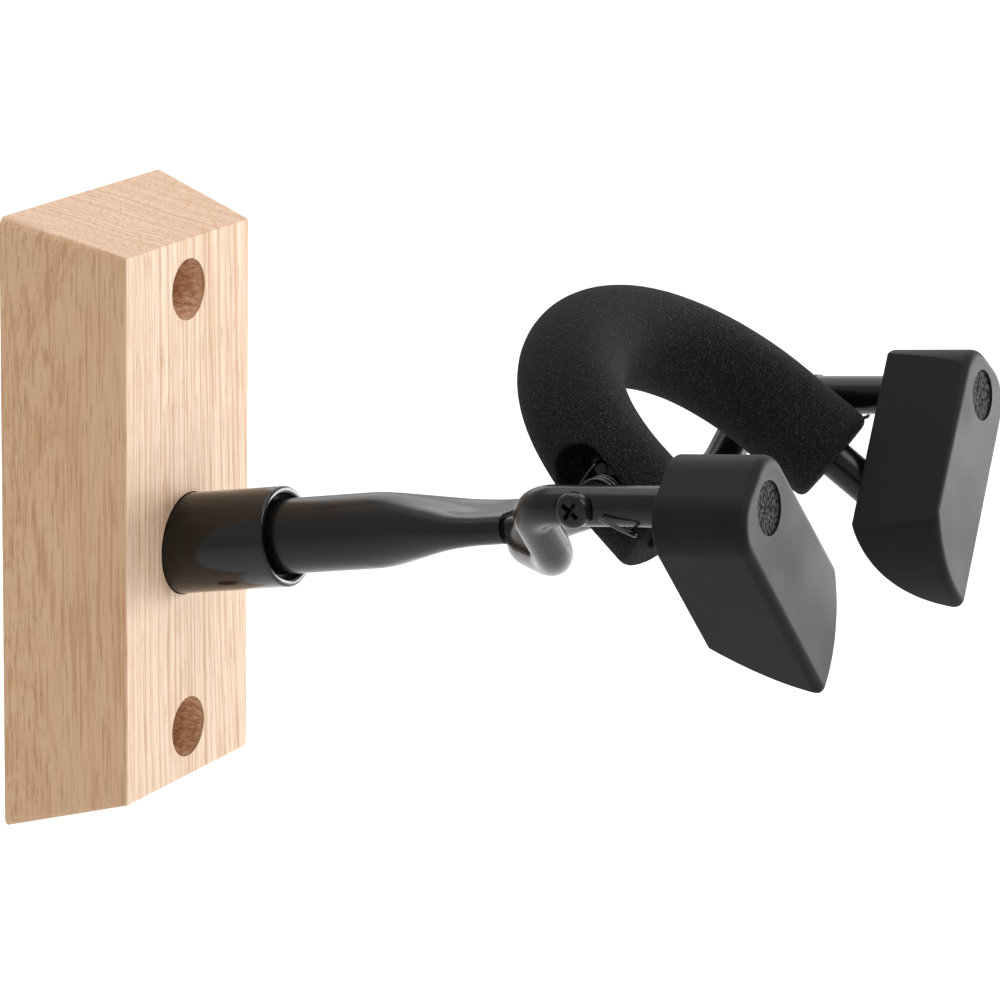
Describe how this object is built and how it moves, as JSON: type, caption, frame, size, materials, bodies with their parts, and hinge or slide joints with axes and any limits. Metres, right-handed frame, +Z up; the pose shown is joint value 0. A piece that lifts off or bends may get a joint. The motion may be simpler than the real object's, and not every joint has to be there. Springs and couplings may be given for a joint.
{
  "type": "wall guitar hanger",
  "caption": "Wall hanger for a guitar: tapered wood block, black swivelling arm, padded tilting cradle and two soft gates that close in front of the neck.",
  "frame": {"origin": "centre of the wood block's wall face", "axes": "+X to the right when facing the wall, +Y into the wall, +Z up; the arm reaches out along -Y and slightly up"},
  "size_m": [0.1288, 0.189, 0.132],
  "materials": {
    "wood": "satin oiled",
    "zinc_plate": "zinc plated",
    "gloss_black": "gloss enamel",
    "satin_black": "satin powder coat",
    "nylon": "moulded nylon",
    "bright_steel": "spring steel",
    "black_screw": "black oxide",
    "foam": "closed-cell foam",
    "soft_touch": "soft-touch",
    "end_disc": "fine texture"
  },
  "bodies": {
    "base": {"wood_block": "wood", "flange_plate": "zinc_plate", "flange_screws": "zinc_plate", "collar_tube": "gloss_black", "front_bush": "nylon", "rear_bush": "nylon"},
    "arm": {"arm_tube": "satin_black", "thrust_washer": "bright_steel", "retaining_ring": "bright_steel", "swivel_stop_pin": "bright_steel", "yoke_rod": "satin_black", "weld_saddle": "satin_black", "pivot_screws": "black_screw", "pivot_washers": "bright_steel", "left_torsion_spring": "bright_steel", "right_torsion_spring": "bright_steel", "prong_clips": "bright_steel", "gate_end_washers": "bright_steel", "gate_end_screws": "black_screw"},
    "cradle": {"cradle_rod": "satin_black", "pivot_bosses": "satin_black", "finger_caps": "nylon", "foam_sleeve": "foam"},
    "right_gate": {"right_gate": "soft_touch", "right_gate_bush": "nylon", "right_end_disc": "end_disc"},
    "left_gate": {"left_gate": "soft_touch", "left_gate_bush": "nylon", "left_end_disc": "end_disc"}
  },
  "joints": [
    {"name": "arm_swivel", "type": "hinge", "parent": "base", "child": "arm", "pos_m": [0, -0.026, -0.00715], "axis": [0, -0.9803, 0.1977], "range_deg": [-30, 30]},
    {"name": "cradle_tilt", "type": "hinge", "parent": "arm", "child": "cradle", "pos_m": [0, -0.1455, 0.02957], "axis": [-1, 0, 0], "range_deg": [0, 33], "stiffness_Nm_per_rad": 0.08, "springref_deg": -34.38, "deforming": ["left_torsion_spring", "right_torsion_spring"]},
    {"name": "right_gate_turn", "type": "hinge", "parent": "arm", "child": "right_gate", "pos_m": [0.0528, -0.1842, 0.0344], "axis": [0, 0.9923, -0.1239], "range_deg": [0, 42.9]},
    {"name": "left_gate_turn", "type": "hinge", "parent": "arm", "child": "left_gate", "pos_m": [-0.0528, -0.1842, 0.0344], "axis": [0, -0.9923, 0.1239], "range_deg": [0, 42.9]}
  ],
  "couplings": [
    {"joint": "right_gate_turn", "follows": "cradle_tilt", "ratio": 1.3},
    {"joint": "left_gate_turn", "follows": "cradle_tilt", "ratio": 1.3}
  ]
}
